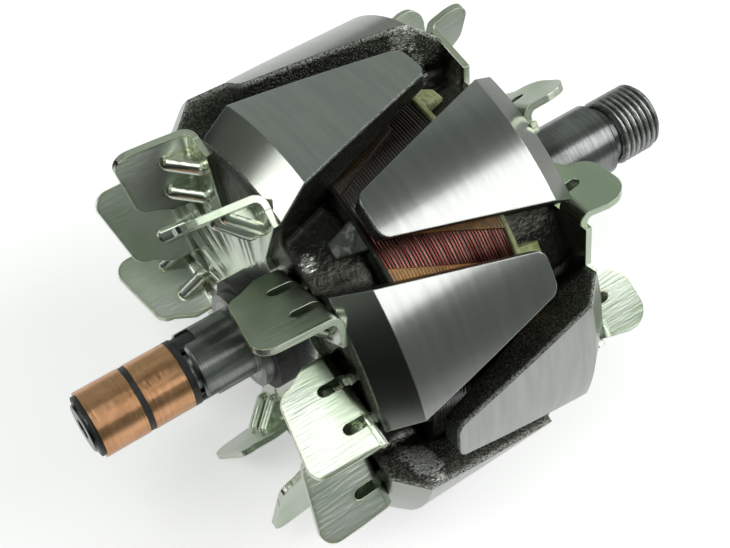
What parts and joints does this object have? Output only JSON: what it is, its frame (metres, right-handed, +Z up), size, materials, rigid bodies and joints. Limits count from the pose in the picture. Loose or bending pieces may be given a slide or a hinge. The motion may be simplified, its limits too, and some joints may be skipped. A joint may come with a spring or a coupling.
{
  "type": "claw pole alternator rotor",
  "caption": "Claw pole rotor of a vehicle alternator: interleaved claws around a field coil, a pressed fan at each end, bearing journals, threaded end and copper slip rings.",
  "frame": {"origin": "on the shaft axis, midway between the outer faces of the two pole pieces", "axes": "+X along the shaft toward the threaded end, +Z up with the shaft level, +Y to the far side"},
  "size_m": [0.1438, 0.096, 0.096],
  "materials": {
    "shaft_steel": "turned, oiled dark",
    "forged_steel": "turned faces, forged sides",
    "bobbin_plastic": "yellow-green moulding",
    "winding_copper": "varnished wire",
    "leaf_insulation": "varnished tan sheet",
    "zinc_sheet": "bright zinc plated",
    "slip_ring_copper": "satin turned",
    "black_resin": "moulded",
    "collar_steel": "turned"
  },
  "bodies": {
    "root": {"shaft": "shaft_steel", "rear_pole_piece": "forged_steel", "front_pole_piece": "forged_steel", "pole_core": "forged_steel", "bobbin": "bobbin_plastic", "field_coil": "winding_copper", "rear_leaf_1": "leaf_insulation", "rear_leaf_2": "leaf_insulation", "rear_leaf_3": "leaf_insulation", "rear_leaf_4": "leaf_insulation", "rear_leaf_5": "leaf_insulation", "rear_leaf_6": "leaf_insulation", "front_leaf_1": "leaf_insulation", "front_leaf_2": "leaf_insulation", "front_leaf_3": "leaf_insulation", "front_leaf_4": "leaf_insulation", "front_leaf_5": "leaf_insulation", "front_leaf_6": "leaf_insulation", "rear_fan": "zinc_sheet", "front_fan": "zinc_sheet", "outer_slip_ring": "slip_ring_copper", "inner_slip_ring": "slip_ring_copper", "slip_ring_insulator": "black_resin", "rear_collar": "collar_steel", "front_collar": "collar_steel", "lead_guide": "black_resin"}
  },
  "joints": []
}
